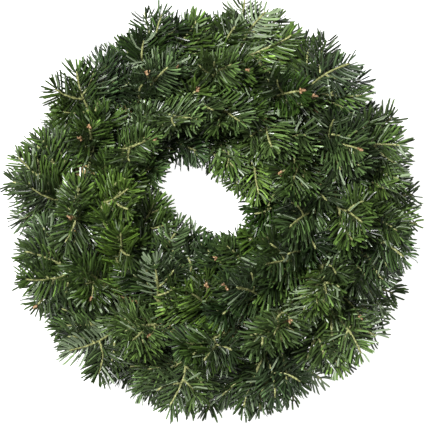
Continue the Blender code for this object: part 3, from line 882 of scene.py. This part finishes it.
# Sprays: the needles, twigs and buds of each in one piece, in the place of its solid. Some patches of the
# wreath are fresher or greyer than the rest, and the bud clusters sit on the shoots nearest to the places
# named here. Patches and places are given in millimetres from the middle of the wreath.
BARE_STEM = 9 * MM
BARE_SHOOT = 2.5 * MM
DARK_GREEN = np.array((0.0145, 0.0375, 0.006))
FRESH_GREEN = np.array((0.142, 0.245, 0.034))
GREY_GREEN = np.array((0.085, 0.125, 0.064))
SHARE_BEFORE, FRESH_BY_SPRAY, GREY_BY_SPRAY, SHARE_BY_SHOOT, SHARE_BY_PATCH = 0.2, 0.25, 0.2, 0.15, 0.5
TINT_SPREAD = 0.42
TINT_PLACE = 0.6
FLIPPED_SHARE = 0.035
SHOOT_ROLL_PLAY = 25
# Painted shade: the needles of the small shoots, which lie under the main ones, are tinted at half
# brightness.
SMALL_SHOOT_PAINTED_SHADE = 0.5
FIRST_SMALL = 3
SEED_STEP = 7919
LEAST_BEND, BEND_RANGE = 0.03, 0.05
PATCH_SIZE = 24 * MM
FRESH_PATCHES = ((-81, 15), (-105, -68), (-153, 102), (55, 167), (-43, -84), (-93, -120), (-160, 112),
                 (0, -153), (157, 9), (35, 55), (100, -90), (-24, 150))
GREY_PATCHES = ((125, 147), (-35, -53), (150, 120), (-190, -30), (175, -100), (-47, 102))
BUD_PLACES = ((-28, 126), (-17, 125), (-59, 94), (-78, 152), (-118, 75), (-124, 66), (-40, 59), (35, 118),
              (60, 98), (81, 122), (104, 126), (98, 97), (152, 60), (57, 25), (75, -101), (139, -102),
              (-11, -52), (-1, -46), (6, -56), (6, -83), (-50, -111), (-60, -117), (-118, -103), (-161, -93),
              (-126, 0))
BUD_LEVEL = 105
BUD_WEIGHT = (1, 1, 0.5)


def patch_share(places, point):
    """How deep a point is in the nearest patch, from 0 to 1."""
    away = np.linalg.norm(np.array(places) * MM - point[:2], axis=-1).min()
    return math.exp(-(away / PATCH_SIZE) ** 2)


def shade_share(spray, key, what, by_spray, patches, point):
    """How fresh or grey a shoot is, from 0 to 1: by its spray, by itself and by the patches near it."""
    share = SHARE_BEFORE + by_spray * vary(spray, what) + SHARE_BY_SHOOT * vary(key, what)
    return np.clip(share + SHARE_BY_PATCH * patch_share(patches, point), 0, 1)


shoot_tips = {(spray, number): axis.points[-1]
              for spray, axes in sprays.items() if not spray.startswith("skirt")
              for number, axis in enumerate(axes)}
clusters = set()
for place in BUD_PLACES:
    spot = np.array((*place, BUD_LEVEL)) * MM
    clusters.add(min(shoot_tips.keys() - clusters,
                     key=lambda shoot: np.linalg.norm((shoot_tips[shoot] - spot) * BUD_WEIGHT)))

needle = needle_pattern()
shape = np.array([vert.co[:] for vert in needle.vertices])
skin = scaly_skin()
materials = [needle_material(), twig_material(skin), bud_material(skin)]
for spray, axes in sprays.items():
    draw = np.random.default_rng(sum(map(ord, spray)) * SEED_STEP + int(spray[-2:]))
    corners, tints = [], []
    for number, axis in enumerate(axes):
        bare = BARE_SHOOT if number else BARE_STEM
        key = f"{spray} {number}"
        flipped = random.Random(key + " flipped").random() < (FLIPPED_SHARE if number else 0.0)
        roll = math.radians(SHOOT_ROLL_PLAY * vary(key, "roll"))
        is_small = number >= FIRST_SMALL
        root, tip, along, up = lay_needles(axis, bare, roll, flipped, 1.0 if is_small else OPEN_SPACING, draw)
        tip, kept = bend_clear(root, tip, draw)
        root, tip, along, up = root[kept], tip[kept], along[kept], up[kept]
        bend = LEAST_BEND + BEND_RANGE * (1 + vary(key, "bend"))
        corners.append(place_needles(shape, root, tip, along, up, bend, draw))
        middle = axis.at(axis.length * TINT_PLACE)
        fresh = shade_share(spray, key, "fresh", FRESH_BY_SPRAY, FRESH_PATCHES, middle)
        grey = shade_share(spray, key, "grey", GREY_BY_SPRAY, GREY_PATCHES, middle)
        base = DARK_GREEN * (1 - fresh) + FRESH_GREEN * fresh
        base = base * (1 - grey) + GREY_GREEN * grey
        # painted shade: the small shoots' needles are darkened
        shade = SMALL_SHOOT_PAINTED_SHADE if is_small else 1.0
        tints.append(base * shade * np.exp(draw.normal(0, TINT_SPREAD, len(root)))[:, None])
    corners, tints = np.concatenate(corners), np.concatenate(tints)
    mesh = bmesh.new()
    for number, axis in enumerate(axes):
        key = f"{spray} {number}"
        draw_twig(mesh, axis, SHOOT_RADIUS if number else STEM_RADIUS, key)
        draw_buds(mesh, axis, (spray, number) in clusters, key)
    mesh = join_parts([as_data(mesh), needle_block(needle, len(corners))])
    piece = make_piece(f"fir_{spray}", mesh, materials, spray)
    data = piece.data
    places = np.empty(len(data.vertices) * 3, np.float32)
    data.vertices.foreach_get("co", places)
    places[-corners.size:] = corners.ravel()
    data.vertices.foreach_set("co", places)
    colors = np.ones((len(data.vertices), 4), np.float32)
    colors[-len(tints) * len(shape):, :3] = np.repeat(tints, len(shape), axis=0)
    data.attributes.new("tint", "FLOAT_COLOR", "POINT").data.foreach_set("color", colors.ravel())
    data.update()
bpy.data.meshes.remove(needle)


# Stage: a plain pale floor, soft studio light and the camera above the wreath.
FLOOR_SIZE = 6.0
CAMERA_HEIGHT = 1.45
RIM_HEIGHT = 25 * MM
VIEW_WIDTH = 0.430
CAMERA_TILT = math.radians(2)
AIM = Vector((0.0, -0.001, RIM_HEIGHT))


def add_light(name, size, watts, place):
    """A square soft light turned towards the middle of the wreath."""
    light = bpy.data.lights.new(name, "AREA")
    light.size = size
    light.energy = watts
    lamp = bpy.data.objects.new(name, light)
    lamp.location = place
    lamp.rotation_mode = "QUATERNION"
    lamp.rotation_quaternion = (-Vector(place)).to_track_quat("-Z", "Y")
    bpy.context.scene.collection.objects.link(lamp)


floor_material, nodes, links, shader = new_material("pale floor", 0.9, 0.2)
shader.inputs["Base Color"].default_value = (0.45, 0.45, 0.45, 1.0)
shader.inputs["Emission Color"].default_value = (1.0, 1.0, 1.0, 1.0)
shader.inputs["Emission Strength"].default_value = 1.0
mesh = bmesh.new()
bmesh.ops.create_grid(mesh, x_segments=1, y_segments=1, size=FLOOR_SIZE / 2)
data = as_data(mesh, "floor")
data.materials.append(floor_material)
floor = bpy.data.objects.new("floor", data)
bpy.context.scene.collection.objects.link(floor)

world = bpy.data.worlds.new("studio")
world.use_nodes = True
world.node_tree.nodes["Background"].inputs["Color"].default_value = (1.0, 1.0, 1.0, 1.0)
world.node_tree.nodes["Background"].inputs["Strength"].default_value = 0.09
bpy.context.scene.world = world
add_light("soft key", size=0.35, watts=86, place=(-0.7, 0.5, 1.9))
add_light("soft fill", size=0.8, watts=9, place=(1.3, -1.0, 1.6))

camera_data = bpy.data.cameras.new("camera")
camera_data.angle = 2 * math.atan(VIEW_WIDTH / 2 / (CAMERA_HEIGHT - RIM_HEIGHT))
camera = bpy.data.objects.new("camera", camera_data)
back = Vector((0.0, -math.sin(CAMERA_TILT), math.cos(CAMERA_TILT)))
camera.location = AIM + back * (CAMERA_HEIGHT - RIM_HEIGHT)
camera.rotation_mode = "QUATERNION"
camera.rotation_quaternion = (-back).to_track_quat("-Z", "Y")
bpy.context.scene.collection.objects.link(camera)
bpy.context.scene.camera = camera
bpy.context.scene.view_settings.view_transform = "Standard"
